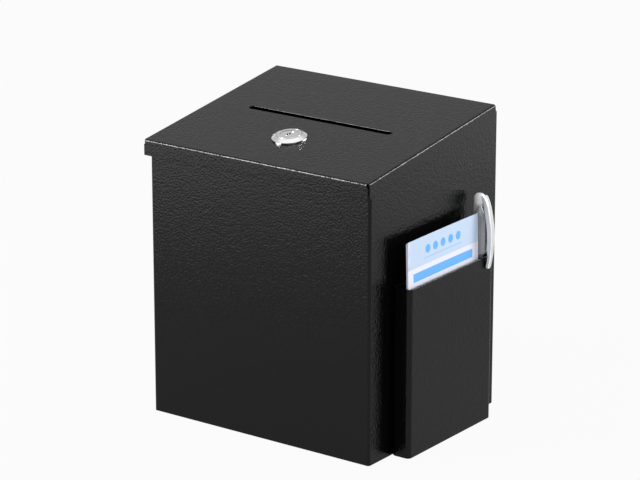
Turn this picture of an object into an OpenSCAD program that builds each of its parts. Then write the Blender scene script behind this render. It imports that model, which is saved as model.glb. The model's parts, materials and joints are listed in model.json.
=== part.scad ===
// Donation box: folded sheet-steel body, sloping hinged lid with a posting slot and a cam lock,
// and a side pocket that holds a few cards and a capped pen.
// Origin: centre of the body's base, on the surface that it stands on.
// +X is the side with the pocket, -Y is the front, +Z is up.

/* [Sheet] */
// Thickness of the folded sheet
sheet_t = 1; // [0.8:0.1:1.4]
// Outside radius of the body's folds
body_fold_r = 2; // [1.6:0.1:4]
// Outside radius of the lid's folds
lid_fold_r = 1.5; // [1.5:0.1:3]

/* [Body] */
// Width over the side walls
body_w = 181; // [160:1:260]
// Depth over the front wall and the back returns
body_d = 150; // [135:1:220]
// Height of the back
body_back_h = 210; // [190:1:300]
// Width of the returns that hold the back panel
return_w = 12; // [8:1:20]
// Height of the upturned edges of the bottom pan
pan_edge_h = 10; // [6:1:20]
// Radius of the wall-fixing holes
wall_hole_r = 3; // [2:0.25:4]
// Distance between wall-fixing holes, across
wall_hole_dx = 100; // [60:5:120]
// Distance between wall-fixing holes, up
wall_hole_dz = 120; // [60:5:130]
// Height of the middle of the wall-fixing holes
wall_hole_z = 105; // [95:5:115]

/* [Lid] */
// Slope of the lid, falling to the front
lid_slope = 8; // [4:0.5:12]
// Height of the lid's front lip
lip_h = 11; // [8:0.5:16]
// Distance of the front lip from the front wall, face to face
lip_standoff = 5; // [4:0.5:8]
// Gap between the lid's side flanges and the side walls
flange_gap = 1; // [0.5:0.1:2]
// Gap between the lid and the top edge of the walls
rim_gap = 0.3; // [0.2:0.05:0.6]
// Distance of the lid's rear edge from the hinge axis
lid_rear_gap = 1.25; // [1:0.05:1.5]
// Gap at the open corners between the front lip and the side flanges
corner_gap = 0.6; // [0.4:0.1:1]

/* [Posting slot] */
// Length of the slot, over its round ends
slot_l = 118; // [80:1:140]
// Width of the slot
slot_w = 5; // [4.6:0.1:8]
// Distance of the slot's middle from the lid's front edge, along the lid
slot_setback = 78; // [70:1:90]
// Place of the slot and the lock across the lid
slot_x = -2; // [-10:0.5:10]

/* [Hinge] */
// Outside radius of the hinge knuckles
knuckle_r = 2.3; // [2.1:0.05:2.6]
// Radius of the hinge pin
pin_r = 1.2; // [0.9:0.05:1.3]
// Radial clearance of the hinge pin
pin_gap = 0.05; // [0.02:0.01:0.1]
// Least distance of the hinge's ends from the side walls
hinge_end_gap = 5; // [3:0.5:10]
// Distance from one knuckle to the next
knuckle_pitch = 12.7; // [10:0.1:12.7]
// Gap between neighbouring knuckles
knuckle_gap = 0.3; // [0.2:0.05:0.6]
// Thickness of the hinge leaves
leaf_t = 0.8; // [0.6:0.05:1]
// Width of each hinge leaf, from the pin's axis
leaf_w = 22; // [18:1:28]
// Height of the knuckles' underside above the back of the body
hinge_rise = 0.7; // [0.6:0.1:1.5]
// Number of rivets through the body leaf
hinge_rivet_n = 5; // [3:1:7]
// Distance of the end rivets from the back returns
hinge_rivet_inset = 8.5; // [5:0.5:14]

/* [Cam lock] */
// Distance of the lock's axis from the lid's front edge, along the lid
lock_setback = 43.5; // [40:0.5:46]
// Radius of the chromed bezel at its foot
bezel_r = 12; // [11:0.25:13]
// Radius of the bezel's flat face
bezel_face_r = 8.7; // [8:0.1:9.5]
// Height of the bezel
bezel_h = 3.2; // [2.4:0.1:4]
// Radius of the threaded barrel
barrel_r = 9; // [8.6:0.1:9.5]
// Distance across the barrel's two flats
barrel_flats = 16; // [15:0.25:17]
// Length of the barrel below the lid's top face
barrel_l = 18; // [16:0.5:22]
// Radius of the key plug
plug_r = 6; // [5.8:0.1:6.4]
// Radial running clearance of the key plug
plug_gap = 0.05; // [0.02:0.01:0.1]
// Distance across the flats of the lock nut
nut_flats = 24; // [22:0.5:26]
// Height of the lock nut
nut_h = 4; // [3:0.5:6]
// Radius of the lock washer
lock_washer_r = 12.5; // [11:0.5:14]
// Number of wafers in the key plug
wafer_n = 5; // [3:1:5]
// Gap between the locked cam's tip and the strike
cam_tip_gap = 1.6; // [1:0.1:3]
// Width of the cam
cam_w = 13; // [11:0.5:15]
// Thickness of the cam
cam_t = 2; // [1.5:0.1:2.5]
// Gap between the cam and the tongue that it turns under
tongue_gap = 0.5; // [0.4:0.1:1]
// Width of the strike
strike_w = 30; // [24:1:40]
// Length of the strike's tongue, from the front wall
tongue_l = 11; // [9:0.5:13]

/* [Rivets] */
// Radius of the rivets' shanks
rivet_r = 1.6; // [1.2:0.1:2]
// Height of the rivets' domed heads
rivet_head_h = 0.9; // [0.6:0.05:0.95]

/* [Side pocket] */
// Height of the pocket
pocket_h = 118; // [90:1:120]
// Length of the pocket, front to back
pocket_l = 99; // [96:1:120]
// Distance of the pocket's middle behind the body's middle
pocket_y = 0.5; // [-5:0.5:5]
// Distance of the pocket's outer face from the side wall
pocket_depth = 14.2; // [14:0.1:20]
// Outside radius of the pocket's folds
pocket_fold_r = 3; // [2:0.1:4]
// Width of the pocket's riveted returns
pocket_return_w = 14; // [12:0.5:18]
// Number of rivets in each return
pocket_rivet_n = 3; // [2:1:4]

/* [Cards] */
// Gap between the cards and the pen
card_pen_gap = 0.5; // [0.3:0.1:20]
// Height of a card
card_h = 148; // [120:1:170]
// Thickness of a card
card_t = 0.28; // [0.2:0.02:0.3]
// Number of cards
card_n = 4; // [2:1:5]
// Lean of the cards towards the side wall
card_lean = 1.2; // [0.6:0.1:1.6]

/* [Pen] */
// Outside radius of the pen's cap
cap_r = 4.4; // [4.2:0.1:4.6]
// Length of the cap
cap_l = 42; // [40:1:44]
// Radius of the pen's barrel
pen_r = 3.6; // [3.4:0.1:3.7]
// Distance of the cap from the pocket's rear wall
pen_end_gap = 3; // [2:0.5:10]
// Length of the barrel
pen_l = 132; // [125:1:134]
// Gap between the clip and the pocket
clip_gap = 0.3; // [0.2:0.1:0.5]
// How far the clip's tip reaches down past the pocket's rim
clip_grip = 8.5; // [6:0.5:12]

/* [Hidden] */
$fn = 64;

// Colours
powder_black = "#2a2a2c";
zinc = "#b4b6b8";
chrome = "#d8dadc";
brass = "#b99a52";
card_blue = "#d3e3f5";
clear_plastic = "#e4e8ea";
ink_blue = "#34455e";

// Small values shared by several pieces
fit_gap = 0.2;
cut = 1;
far = 1000;
arc_steps = 8;

// Body
side_x = body_w/2;
front_y = -body_d/2;
back_y = body_d/2;
panel_out_y = back_y - sheet_t;
panel_in_y = panel_out_y - sheet_t;
panel_half_w = side_x - body_fold_r - fit_gap;

// Hinge axis
hinge_y = panel_in_y - knuckle_r;
hinge_z = body_back_h + hinge_rise + knuckle_r;
knuckle_n = 2*floor(((body_w/2 - sheet_t - hinge_end_gap)*2/knuckle_pitch - 1)/2) + 1;
hinge_l = knuckle_n*knuckle_pitch;
bore_r = pin_r + pin_gap;
hinge_rivet_drop = leaf_w*0.62;

// Lid: in the lid's own frame y runs up the slope from the hinge axis and z is normal to the lid
lid_top = knuckle_r + sheet_t;
lid_w = body_w + 2*(flange_gap + sheet_t);
lid_front_y = front_y - lip_standoff;
lid_front = (lid_front_y - hinge_y + lid_top*sin(lid_slope))/cos(lid_slope);
flange_drop = lip_h*cos(lid_slope);
notch_y = hinge_y - knuckle_r - 2*cut;

// Lock, in the lid's frame
lock_y = lid_front + lock_setback;
slot_y = lid_front + slot_setback;
bezel_foot_h = 0.8;
barrel_bore_r = plug_r + plug_gap;
face_recess = 0.3;
washer_t = 0.8;
stop_t = 1;
stop_gap = 0.1;
cam_z = -barrel_l - stop_t - 2*stop_gap;
tail_w = 6.4;
tail_fit = 0.05;
screw_r = 2;
screw_head_r = 4.6;
screw_head_h = 2;
screw_depth = 8;
wafer_t = 0.9;
wafer_pitch = 2.5;
wafer_w = 5.2;
wafer_l = 10.2;
keyway_w = 1.6;
keyway_l = 8;
stop_travel = 90;
stop_slack = 14;

// Strike
strike_t = 1.5;
strike_y = front_y + sheet_t + strike_t/2;
strike_top = rim_z(front_y) - 3*cut;
tongue_depth = -cam_z - tongue_gap - strike_t/2;
strike_rivet_dx = strike_w*0.3;
strike_rivet_z = strike_top - 4.5;

// Cam: its tip stops short of the strike when it is turned to the front
cam_axis_y = hinge_y + lock_y*cos(lid_slope) - (lid_top + cam_z)*sin(lid_slope);
cam_l = (cam_axis_y - front_y - sheet_t - strike_t - cam_tip_gap)/cos(lid_slope);

// Pocket
pocket_y0 = pocket_y - pocket_l/2;
pocket_y1 = pocket_y + pocket_l/2;
pocket_x = side_x + pocket_depth;
pocket_in_x = pocket_x - sheet_t;

// Cards and pen
card_pitch = card_t + 0.05;
card_end_gap = pocket_fold_r - sheet_t - 0.3;
card_x = pocket_in_x - fit_gap;
pen_x = pocket_in_x - 0.8 - cap_r;
pen_y = pocket_y1 - sheet_t - pen_end_gap - cap_r;
card_w = pen_y - cap_r - card_pen_gap - pocket_y0 - sheet_t - card_end_gap;
card_y = pocket_y0 + sheet_t + card_end_gap + card_w/2;
cap_z = pocket_h + 1.5;
cap_top_z = cap_z + cap_l;
cap_fit = 0.1;
cap_wall = cap_r - pen_r - cap_fit;
cap_crown_h = 5;
pen_top_z = cap_top_z - cap_crown_h - 8.5;
pen_wall = 1;
nib_l = 8;
clip_t = 1.8;
clip_w = 5;
clip_bow = 3.6;

// Height of the lid's top face at a distance y from the body's middle
function lid_z(y) = hinge_z + lid_top/cos(lid_slope) + (y - hinge_y)*tan(lid_slope);

// Height of the walls' top edge, which runs below the lid
function rim_z(y) = lid_z(y) - (sheet_t + rim_gap)/cos(lid_slope);

// Points on an arc
function arc(centre, r, a0, a1) =
  [for (k = [0:arc_steps]) let (a = a0 + (a1 - a0)*k/arc_steps) centre + r*[cos(a), sin(a)]];

// One side of a folded sheet's section: the middle line moved by d to its left, with round folds
function heading(p, i) = atan2(p[i + 1].y - p[i].y, p[i + 1].x - p[i].x);
function turned(a) = a > 180 ? a - 360 : a < -180 ? a + 360 : a;
function left_of(a) = [-sin(a), cos(a)];
function fold_side(p, r, d) = concat(
  [p[0] + d*left_of(heading(p, 0))],
  [for (i = [1:len(p) - 2])
    let (
      a = heading(p, i - 1),
      turn = turned(heading(p, i) - a),
      s = sign(turn),
      set_back = r*tan(abs(turn)/2),
      centre = p[i] - set_back*[cos(a), sin(a)] + s*r*left_of(a)
    )
    each arc(centre, r - s*d, a - s*90, a - s*90 + turn)],
  [p[len(p) - 1] + d*left_of(heading(p, len(p) - 2))]
);

// Section of a folded sheet, from its middle line, thickness and outside fold radius
module folded(p, t, fold_r) {
  r = fold_r - t/2;
  right = fold_side(p, r, -t/2);
  polygon(concat(fold_side(p, r, t/2), [for (i = [len(right) - 1:-1:0]) right[i]]));
}

// Extrudes a section drawn in Y and Z along X, centred
module along_x(length) {
  rotate([90, 0, 90])
    translate([0, 0, -length/2])
      linear_extrude(length) children();
}

// Places its children in the lid's frame
module on_lid() {
  translate([0, hinge_y, hinge_z]) rotate([lid_slope, 0, 0]) children();
}

// Places its children on the lock's axis, with z = 0 at the lid's top face
module on_lock() {
  on_lid() translate([slot_x, lock_y, lid_top]) children();
}

// Double-D outline of the lock's barrel
module barrel_outline(gap) {
  intersection() {
    circle(barrel_r + gap);
    square([barrel_flats + 2*gap, 3*barrel_r], center = true);
  }
}

// Blind rivet along +Z: domed head above z = 0, shank and tail through a grip
module rivet(grip) {
  head_r = 1.9*rivet_r;
  dome_r = (head_r*head_r + rivet_head_h*rivet_head_h)/(2*rivet_head_h);
  intersection() {
    translate([0, 0, rivet_head_h - dome_r]) sphere(dome_r);
    cylinder(h = rivet_head_h, r = head_r);
  }
  translate([0, 0, -grip]) cylinder(h = grip, r = rivet_r);
  translate([0, 0, -grip - 1]) cylinder(h = 1, r = 1.35*rivet_r);
}

module rivet_hole(grip) {
  translate([0, 0, -grip - cut]) cylinder(h = grip + 2*cut, r = rivet_r + 0.05);
}

module at_hinge_rivets() {
  span = 2*(side_x - return_w - hinge_rivet_inset);
  for (k = [0:hinge_rivet_n - 1])
    translate([-span/2 + span*k/(hinge_rivet_n - 1), panel_out_y, hinge_z - hinge_rivet_drop])
      rotate([-90, 0, 0]) children();
}

module at_pocket_rivets() {
  for (y = [pocket_y0 + pocket_return_w*0.6, pocket_y1 - pocket_return_w*0.6])
    for (k = [0:pocket_rivet_n - 1])
      translate([side_x + sheet_t, y, pocket_h*(k + 0.5)/pocket_rivet_n])
        rotate([0, 90, 0]) children();
}

module at_strike_rivets() {
  for (s = [-1, 1])
    translate([slot_x + s*strike_rivet_dx, front_y, strike_rivet_z])
      rotate([90, 0, 0]) children();
}

module body_shell() {
  wall = [
    [side_x - return_w, back_y - sheet_t/2],
    [side_x - sheet_t/2, back_y - sheet_t/2],
    [side_x - sheet_t/2, front_y + sheet_t/2],
    [-side_x + sheet_t/2, front_y + sheet_t/2],
    [-side_x + sheet_t/2, back_y - sheet_t/2],
    [-side_x + return_w, back_y - sheet_t/2]
  ];
  above_rim = [
    [-far, rim_z(-far)], [notch_y, rim_z(notch_y)], [notch_y, body_back_h],
    [far, body_back_h], [far, far], [-far, far]
  ];
  color(powder_black)
    difference() {
      linear_extrude(body_back_h + 2*knuckle_r + hinge_rise) folded(wall, sheet_t, body_fold_r);
      along_x(2*body_w) polygon(above_rim);
      at_pocket_rivets() rivet_hole(2*sheet_t);
      at_strike_rivets() rivet_hole(sheet_t);
    }
}

module back_panel() {
  color(powder_black)
    difference() {
      translate([-panel_half_w, panel_in_y, 0]) cube([2*panel_half_w, sheet_t, body_back_h]);
      for (sx = [-1, 1], sz = [-1, 1])
        translate([sx*wall_hole_dx/2, panel_out_y + cut, wall_hole_z + sz*wall_hole_dz/2])
          rotate([90, 0, 0]) cylinder(h = sheet_t + 2*cut, r = wall_hole_r);
      at_hinge_rivets() rivet_hole(sheet_t);
    }
}

// Tray with four upturned edges, open at its corners
module bottom_pan() {
  half_w = side_x - sheet_t - sheet_t/2;
  y0 = front_y + sheet_t + sheet_t/2;
  y1 = panel_in_y - sheet_t/2;
  across = [[-half_w, pan_edge_h], [-half_w, sheet_t/2], [half_w, sheet_t/2], [half_w, pan_edge_h]];
  front_to_back = [[y0, pan_edge_h], [y0, sheet_t/2], [y1, sheet_t/2], [y1, pan_edge_h]];
  corner = 2*body_fold_r;
  color(powder_black) {
    translate([0, y1 - corner, 0])
      rotate([90, 0, 0]) linear_extrude(y1 - y0 - 2*corner) folded(across, sheet_t, 1.5*sheet_t);
    along_x(2*(half_w - corner)) folded(front_to_back, sheet_t, 1.5*sheet_t);
  }
}

module side_pocket() {
  wall = [
    [side_x + sheet_t/2, pocket_y0 + pocket_return_w],
    [side_x + sheet_t/2, pocket_y0 + sheet_t/2],
    [pocket_x - sheet_t/2, pocket_y0 + sheet_t/2],
    [pocket_x - sheet_t/2, pocket_y1 - sheet_t/2],
    [side_x + sheet_t/2, pocket_y1 - sheet_t/2],
    [side_x + sheet_t/2, pocket_y1 - pocket_return_w]
  ];
  color(powder_black)
    difference() {
      union() {
        linear_extrude(pocket_h) folded(wall, sheet_t, pocket_fold_r);
        translate([side_x, pocket_y0 + pocket_fold_r, 0])
          cube([pocket_depth - sheet_t/2, pocket_l - 2*pocket_fold_r, sheet_t]);
      }
      at_pocket_rivets() rivet_hole(2*sheet_t);
    }
}

module pocket_rivets() {
  color(powder_black) at_pocket_rivets() rivet(2*sheet_t);
}

// Angle on the front wall, with a tongue parallel to the lid for the cam to turn under
module lock_strike() {
  tongue_y = front_y + sheet_t + tongue_l;
  leg = [
    [strike_y, strike_top],
    [strike_y, lid_z(strike_y) - tongue_depth/cos(lid_slope)],
    [tongue_y, lid_z(tongue_y) - tongue_depth/cos(lid_slope)]
  ];
  color(zinc)
    difference() {
      translate([slot_x, 0, 0]) along_x(strike_w) folded(leg, strike_t, strike_t*1.3);
      at_strike_rivets() rivet_hole(sheet_t + strike_t);
    }
}

module strike_rivets() {
  color(powder_black) at_strike_rivets() rivet(sheet_t + strike_t);
}

// Knuckles of one hinge leaf: every second one, from the first index given
module knuckles(first) {
  for (k = [first:2:knuckle_n - 1])
    translate([-hinge_l/2 + k*knuckle_pitch + knuckle_gap/2, 0, 0])
      rotate([0, 90, 0]) cylinder(h = knuckle_pitch - knuckle_gap, r = knuckle_r);
}

// Clears the other leaf's knuckles from a leaf that stands in the XZ plane below the axis
module knuckle_gaps(first) {
  for (k = [first:2:knuckle_n - 1])
    translate([-hinge_l/2 + k*knuckle_pitch - knuckle_gap/2, -2*knuckle_r, -knuckle_r - knuckle_gap])
      cube([knuckle_pitch + knuckle_gap, 4*knuckle_r, 2*knuckle_r + knuckle_gap]);
}

// Leaf with its knuckles, hanging from the axis, with its outer face tangent to them on the +Y side
module hinge_leaf(first) {
  difference() {
    union() {
      knuckles(first);
      difference() {
        translate([-hinge_l/2 + knuckle_gap/2, knuckle_r - leaf_t, -leaf_w])
          cube([hinge_l - knuckle_gap, leaf_t, leaf_w]);
        knuckle_gaps(1 - first);
      }
    }
    translate([-hinge_l/2 - cut, 0, 0]) rotate([0, 90, 0]) cylinder(h = hinge_l + 2*cut, r = bore_r);
  }
}

module hinge_body_leaf() {
  color(powder_black)
    difference() {
      translate([0, hinge_y, hinge_z]) hinge_leaf(0);
      at_hinge_rivets() rivet_hole(sheet_t + leaf_t);
    }
}

module hinge_lid_leaf() {
  color(powder_black)
    on_lid() rotate([-90, 0, 0]) mirror([0, 1, 0]) hinge_leaf(1);
}

module hinge_pin() {
  length = hinge_l + 1;
  color(zinc)
    translate([-length/2, hinge_y, hinge_z]) rotate([0, 90, 0]) cylinder(h = length, r = pin_r);
}

module hinge_rivets() {
  color(powder_black) at_hinge_rivets() rivet(sheet_t + leaf_t);
}

// Top and side flanges as one channel along the slope, and the front lip folded down upright
module lid_shell() {
  mid = lid_top - sheet_t/2;
  half_w = lid_w/2 - sheet_t/2;
  channel = [
    [-half_w, lid_top - flange_drop], [-half_w, mid], [half_w, mid], [half_w, lid_top - flange_drop]
  ];
  lip_mid_y = lid_front_y + sheet_t/2;
  lip_low = lid_z(lid_front_y) - lip_h;
  mid_drop = sheet_t/2/cos(lid_slope);
  lap_y = lid_front_y + 4*lid_fold_r;
  lip_fold = [[lap_y, lid_z(lap_y) - mid_drop], [lip_mid_y, lid_z(lip_mid_y) - mid_drop], [lip_mid_y, lip_low]];
  flange_y = lid_front_y + sheet_t + corner_gap;
  lip_top = lid_z(lid_front_y) - 2*lid_fold_r;
  lip_w = lid_w - 2*corner_gap;
  color(powder_black)
    difference() {
      union() {
        difference() {
          on_lid() translate([0, -lid_rear_gap, 0])
            rotate([90, 0, 0])
              linear_extrude(-lid_front - lid_rear_gap) folded(channel, sheet_t, lid_fold_r);
          translate([-lid_w, flange_y - far, 0]) cube([2*lid_w, far, far]);
        }
        along_x(lid_w - 2*lid_fold_r) folded(lip_fold, sheet_t, lid_fold_r);
        translate([-lip_w/2, lid_front_y, lip_low]) cube([lip_w, sheet_t, lip_top - lip_low]);
      }
      on_lid() translate([slot_x, slot_y, 0]) {
        translate([-(slot_l - slot_w)/2, -slot_w/2, 0]) cube([slot_l - slot_w, slot_w, 2*lid_top]);
        for (s = [-1, 1])
          translate([s*(slot_l - slot_w)/2, 0, 0]) cylinder(h = 2*lid_top, r = slot_w/2);
      }
      on_lock() translate([0, 0, -2*sheet_t]) linear_extrude(4*sheet_t) barrel_outline(fit_gap);
    }
}

// Chromed bezel with four lugs on its rim, and a barrel with two flats and a shallow thread
module lock_body() {
  thread_pitch = 1;
  thread_depth = 0.4;
  thread_top = -sheet_t - washer_t;
  thread_n = floor((barrel_l + thread_top - cut)/thread_pitch);
  lug_w = 4.6;
  bezel = [
    [0, 0], [bezel_r - 0.9, 0], [bezel_r - 0.9, bezel_foot_h/2], [bezel_r, bezel_foot_h],
    [bezel_face_r, bezel_h - 0.2], [bezel_face_r - 0.3, bezel_h], [0, bezel_h]
  ];
  barrel = concat(
    [[0, 0.5], [barrel_r, 0.5], [barrel_r, thread_top]],
    [for (k = [0:thread_n - 1])
      each [
        [barrel_r - thread_depth, thread_top - (k + 0.5)*thread_pitch],
        [barrel_r, thread_top - (k + 1)*thread_pitch]
      ]],
    [[barrel_r, -barrel_l], [0, -barrel_l]]
  );
  color(chrome)
    on_lock()
      difference() {
        union() {
          rotate_extrude() polygon(bezel);
          for (a = [0:90:270])
            rotate(a) translate([bezel_r - 2.4, -lug_w/2, bezel_foot_h/2])
              cube([3, lug_w, bezel_foot_h]);
          intersection() {
            rotate_extrude() polygon(barrel);
            translate([-barrel_flats/2, -2*barrel_r, -2*barrel_l]) cube([barrel_flats, 4*barrel_r, 3*barrel_l]);
          }
          stop_boss();
        }
        translate([0, 0, -2*barrel_l]) cylinder(h = 3*barrel_l, r = barrel_bore_r);
      }
}

// Quarter-turn stop on the barrel's lower end: the stop washer's tab moves in the gap that it leaves
module stop_boss() {
  translate([0, 0, -barrel_l - stop_t])
    difference() {
      cylinder(h = 1.5*stop_t, r = barrel_flats/2);
      translate([0, 0, -cut]) cylinder(h = 3*stop_t, r = plug_r + 0.6);
      for (a = [-stop_travel - stop_slack, stop_slack - 90])
        rotate(a) translate([0, 0, -cut]) cube([2*barrel_r, 2*barrel_r, 3*stop_t]);
    }
}

module lock_washer() {
  color(zinc)
    on_lock() translate([0, 0, -sheet_t - washer_t])
      difference() {
        cylinder(h = washer_t, r = lock_washer_r);
        translate([0, 0, -cut]) cylinder(h = washer_t + 2*cut, r = barrel_r + 0.05);
      }
}

module lock_nut() {
  color(zinc)
    on_lock() translate([0, 0, -sheet_t - washer_t - nut_h])
      difference() {
        cylinder(h = nut_h, r = nut_flats/2/cos(30), $fn = 6);
        translate([0, 0, -cut]) cylinder(h = nut_h + 2*cut, r = barrel_r + 0.05);
      }
}

// Key plug with its keyway, slots for the wafers and a square tail for the stop washer and the cam
module lock_plug() {
  tail_l = stop_t + 2*stop_gap + cam_t - stop_gap;
  color(chrome)
    on_lock()
      difference() {
        union() {
          translate([0, 0, -barrel_l]) cylinder(h = barrel_l + bezel_h - face_recess, r = plug_r);
          translate([-tail_w/2, -tail_w/2, -barrel_l - tail_l]) cube([tail_w, tail_w, tail_l + cut]);
        }
        translate([-keyway_w/2, -keyway_l/2, -barrel_l + 4]) cube([keyway_w, keyway_l, 2*barrel_l]);
        translate([0, 0, bezel_h - 2*cut]) cylinder(h = 3*cut, r = keyway_w*0.8);
        at_wafers()
          translate([-wafer_w/2 - 0.1, -2*plug_r, -wafer_t/2 - 0.1]) cube([wafer_w + 0.2, 4*plug_r, wafer_t + 0.2]);
        translate([0, 0, -barrel_l - 2*tail_l]) cylinder(h = screw_depth, r = screw_r + tail_fit);
      }
}

module at_wafers() {
  for (k = [0:wafer_n - 1]) translate([0, 0, -cut - k*wafer_pitch]) children();
}

module lock_wafers() {
  color(brass)
    on_lock() at_wafers()
      translate([0, 0, -wafer_t/2])
        difference() {
          translate([-wafer_w/2, -wafer_l/2, 0]) cube([wafer_w, wafer_l, wafer_t]);
          translate([-keyway_w/2, -keyway_l*0.36, -cut]) cube([keyway_w, keyway_l*0.72, wafer_t + 2*cut]);
        }
}

module stop_washer() {
  tab_w = 3;
  color(zinc)
    on_lock() translate([0, 0, -barrel_l - stop_t - stop_gap])
      difference() {
        union() {
          cylinder(h = stop_t, r = plug_r + 0.3);
          translate([0, -tab_w/2, 0]) cube([barrel_flats/2, tab_w, stop_t]);
        }
        tail_hole(stop_t);
      }
}

module tail_hole(h) {
  w = tail_w + 2*tail_fit;
  translate([-w/2, -w/2, -cut]) cube([w, w, h + 2*cut]);
}

// Cam in its unlocked place, across the box
module lock_cam() {
  hub_r = 7.5;
  color(zinc)
    on_lock() translate([0, 0, cam_z - cam_t])
      difference() {
        union() {
          cylinder(h = cam_t, r = hub_r);
          translate([0, -cam_w/2, 0]) cube([cam_l - cam_w/2, cam_w, cam_t]);
          translate([cam_l - cam_w/2, 0, 0]) cylinder(h = cam_t, r = cam_w/2);
        }
        tail_hole(cam_t);
      }
}

module cam_screw() {
  color(zinc)
    on_lock() translate([0, 0, cam_z - cam_t])
      difference() {
        union() {
          translate([0, 0, -screw_head_h]) cylinder(h = screw_head_h, r = screw_head_r);
          cylinder(h = screw_depth - 3*cut, r = screw_r);
        }
        for (a = [0, 90])
          rotate(a) translate([-2.6, -0.5, -screw_head_h - cut]) cube([5.2, 1, 2*cut]);
      }
}

// A few cards standing on the pocket's floor and leaning towards the side wall
module suggestion_cards() {
  fan = 0.35;
  color(card_blue)
    translate([card_x, card_y, sheet_t + fit_gap])
      rotate([0, -card_lean, 0])
        for (k = [0:card_n - 1])
          translate([-card_t - k*card_pitch, -card_w/2 + fan*sin(140*k), card_t])
            cube([card_t, card_w, card_h - k*fan]);
}

// Cap of the pen: a tube with a domed crown, and a bowed clip that goes outside the pocket
module pen_cap() {
  dome_r = cap_r*0.55;
  bore_top = cap_l - cap_crown_h;
  outline = concat(
    [[cap_r - cap_wall, 0], [cap_r, 0]],
    arc([cap_r*0.92 - dome_r, cap_l - dome_r], dome_r, 0, 90),
    [[0, cap_l], [0, bore_top], [cap_r - cap_wall, bore_top - 2]]
  );
  color(clear_plastic, 0.6)
    translate([pen_x, pen_y, cap_z]) {
      rotate_extrude() polygon(outline);
      pen_clip();
    }
}

// Clip: an arc whose ends are the crown and the tip, and whose middle bows outwards
module pen_clip() {
  tip = [pocket_x + clip_gap + clip_t/2 - pen_x, pocket_h - clip_grip - cap_z];
  root = [cap_r + 1, cap_l - 3];
  chord = norm(root - tip);
  bow_r = (chord*chord/4 + clip_bow*clip_bow)/(2*clip_bow);
  half = asin(chord/2/bow_r);
  up = atan2(root.y - tip.y, root.x - tip.x);
  centre = (root + tip)/2 + (bow_r - clip_bow)*[-sin(up), cos(up)];
  a_mid = up - 90;
  path = arc(centre, bow_r + clip_t/2, a_mid - half, a_mid + half);
  back = arc(centre, bow_r - clip_t/2, a_mid + half, a_mid - half);
  rotate([90, 0, 0])
    translate([0, 0, -clip_w/2])
      linear_extrude(clip_w) {
        polygon(concat(path, back));
        translate(tip) circle(clip_t/2);
        polygon([[0, cap_l - 4.2], [root.x, root.y - 1.6], [root.x + 0.8, root.y + 0.4], [0, cap_l - 0.4]]);
      }
}

// Round tube, open at the top end where the nib goes in
module pen_barrel() {
  color(clear_plastic, 0.5)
    translate([pen_x, pen_y, pen_top_z - pen_l])
      difference() {
        cylinder(h = pen_l, r = pen_r);
        translate([0, 0, -cut]) cylinder(h = pen_l + 2*cut, r = pen_r - pen_wall);
      }
}

module pen_refill() {
  refill_l = pen_l - 12;
  color(ink_blue)
    translate([pen_x, pen_y, pen_top_z - refill_l]) cylinder(h = refill_l - 2.2, r = pen_r - pen_wall - 0.5);
}

module pen_tip() {
  color(zinc)
    translate([pen_x, pen_y, pen_top_z])
      rotate_extrude()
        polygon([
          [0, -2], [pen_r - pen_wall - 0.05, -2], [pen_r - pen_wall - 0.05, 0], [pen_r - 0.4, 0],
          [0.9, nib_l - 2.5], [0.9, nib_l - 1.5], [0.4, nib_l], [0, nib_l]
        ]);
}

module pen_end_plug() {
  color(ink_blue)
    translate([pen_x, pen_y, pen_top_z - pen_l])
      rotate_extrude()
        polygon([
          [0, -1.6], [pen_r - 0.8, -1.6], [pen_r - 0.1, -0.9], [pen_r - 0.1, 0],
          [pen_r - pen_wall - 0.05, 0], [pen_r - pen_wall - 0.05, 5], [0, 5]
        ]);
}

body_shell();
back_panel();
bottom_pan();
side_pocket();
pocket_rivets();
lock_strike();
strike_rivets();
hinge_body_leaf();
hinge_lid_leaf();
hinge_pin();
hinge_rivets();
lid_shell();
lock_body();
lock_washer();
lock_nut();
lock_plug();
lock_wafers();
stop_washer();
lock_cam();
cam_screw();
suggestion_cards();
pen_cap();
pen_barrel();
pen_refill();
pen_tip();
pen_end_plug();
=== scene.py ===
# %% [markdown]
# # A donation box with a sloping, locked lid
# The box is a small sheet-steel cabinet under a black powder coat. Its lid slopes to the front, has a
# posting slot and a chromed cam lock, and a side pocket holds a few cards and a capped pen. The packed
# model brings every part at its true size, so this lesson is about looks: we give each part its finish,
# soften the folded sheets as a coat of powder would, and make again the few parts whose shape is too fine
# for plain solids.

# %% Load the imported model
from math import cos, radians, sin

import bmesh
import bpy
import numpy as np
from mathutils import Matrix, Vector
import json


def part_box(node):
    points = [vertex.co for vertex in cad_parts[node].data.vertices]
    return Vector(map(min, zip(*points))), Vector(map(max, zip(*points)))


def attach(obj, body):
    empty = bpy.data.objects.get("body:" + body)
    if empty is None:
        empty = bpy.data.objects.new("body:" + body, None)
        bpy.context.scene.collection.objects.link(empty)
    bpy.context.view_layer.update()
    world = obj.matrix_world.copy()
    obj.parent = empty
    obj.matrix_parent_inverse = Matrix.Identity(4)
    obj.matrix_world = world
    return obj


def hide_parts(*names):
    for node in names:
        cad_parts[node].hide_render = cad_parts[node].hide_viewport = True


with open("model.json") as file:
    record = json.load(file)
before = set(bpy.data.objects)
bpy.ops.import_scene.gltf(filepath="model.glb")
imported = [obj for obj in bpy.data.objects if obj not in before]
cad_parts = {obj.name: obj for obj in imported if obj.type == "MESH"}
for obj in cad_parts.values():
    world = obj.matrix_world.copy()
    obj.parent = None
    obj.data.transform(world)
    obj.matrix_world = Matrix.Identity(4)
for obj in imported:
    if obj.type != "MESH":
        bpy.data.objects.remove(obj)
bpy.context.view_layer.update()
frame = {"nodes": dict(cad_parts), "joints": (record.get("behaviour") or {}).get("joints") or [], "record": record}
nodes = frame["nodes"]
MM = 0.001
print("parts in the packed model:", len(nodes))

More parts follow.
